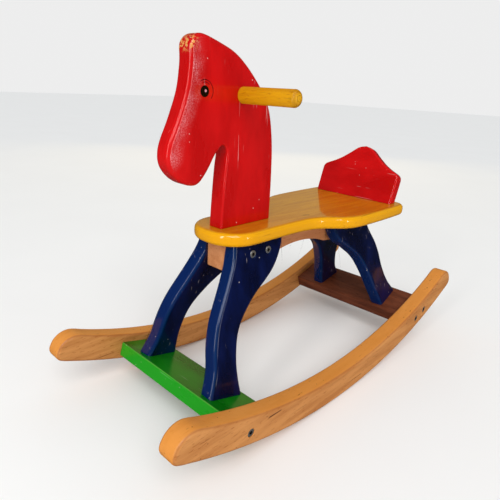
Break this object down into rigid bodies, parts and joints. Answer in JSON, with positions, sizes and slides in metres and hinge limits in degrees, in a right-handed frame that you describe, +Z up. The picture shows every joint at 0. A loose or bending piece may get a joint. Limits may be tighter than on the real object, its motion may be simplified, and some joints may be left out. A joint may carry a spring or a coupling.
{
  "type": "rocking horse",
  "caption": "Wooden rocking horse: flat horse head with a handle bar, shaped seat with a low backrest, splayed curved legs and two bowed runners.",
  "frame": {"origin": "centre of the bounding box in plan, on the floor that the runners stand on", "axes": "+Z up, the horse faces -Y, +X is the horse's left side"},
  "size_m": [0.32, 0.758, 0.546],
  "materials": {
    "red_paint": "gloss paint on wood, worn at the edges",
    "amber_lacquer": "amber gloss lacquer with the grain showing",
    "blue_paint": "dark blue gloss paint on wood",
    "green_paint": "green satin paint on wood",
    "brown_stain": "dark brown stain",
    "oiled_beech": "clear satin finish, darkened on the wear edges",
    "plain_beech": "matt clear finish",
    "ochre_stain": "ochre satin stain",
    "zinc_steel": "bright zinc plate"
  },
  "bodies": {
    "root": {"runner_left": "oiled_beech", "runner_right": "oiled_beech", "front_cross_board": "green_paint", "rear_cross_board": "brown_stain", "front_leg_left": "blue_paint", "front_leg_right": "blue_paint", "rear_leg_left": "blue_paint", "rear_leg_right": "blue_paint", "seat_beam": "plain_beech", "seat": "amber_lacquer", "head": "red_paint", "handle": "ochre_stain", "backrest": "red_paint", "runner_dowel_left": "plain_beech", "runner_dowel_right": "plain_beech", "runner_bolt_front_left_1": "zinc_steel", "runner_bolt_front_right_1": "zinc_steel", "runner_bolt_rear_left_1": "zinc_steel", "runner_bolt_rear_left_2": "zinc_steel", "runner_bolt_rear_right_1": "zinc_steel", "runner_bolt_rear_right_2": "zinc_steel", "barrel_nut_front_left_1": "zinc_steel", "barrel_nut_front_right_1": "zinc_steel", "barrel_nut_rear_left_1": "zinc_steel", "barrel_nut_rear_left_2": "zinc_steel", "barrel_nut_rear_right_1": "zinc_steel", "barrel_nut_rear_right_2": "zinc_steel", "leg_bolt_1": "zinc_steel", "leg_bolt_2": "zinc_steel", "leg_bolt_3": "zinc_steel", "leg_bolt_4": "zinc_steel", "leg_sleeve_nut_1": "zinc_steel", "leg_sleeve_nut_2": "zinc_steel", "leg_sleeve_nut_3": "zinc_steel", "leg_sleeve_nut_4": "zinc_steel", "foot_screw_front_left": "zinc_steel", "foot_screw_front_right": "zinc_steel", "foot_screw_rear_left": "zinc_steel", "foot_screw_rear_right": "zinc_steel", "neck_bolt_1": "zinc_steel", "neck_bolt_2": "zinc_steel", "neck_barrel_nut_1": "zinc_steel", "neck_barrel_nut_2": "zinc_steel", "seat_screw_1": "zinc_steel", "seat_screw_2": "zinc_steel", "back_screw_left": "zinc_steel", "back_screw_right": "zinc_steel", "handle_pin": "zinc_steel"}
  },
  "joints": []
}
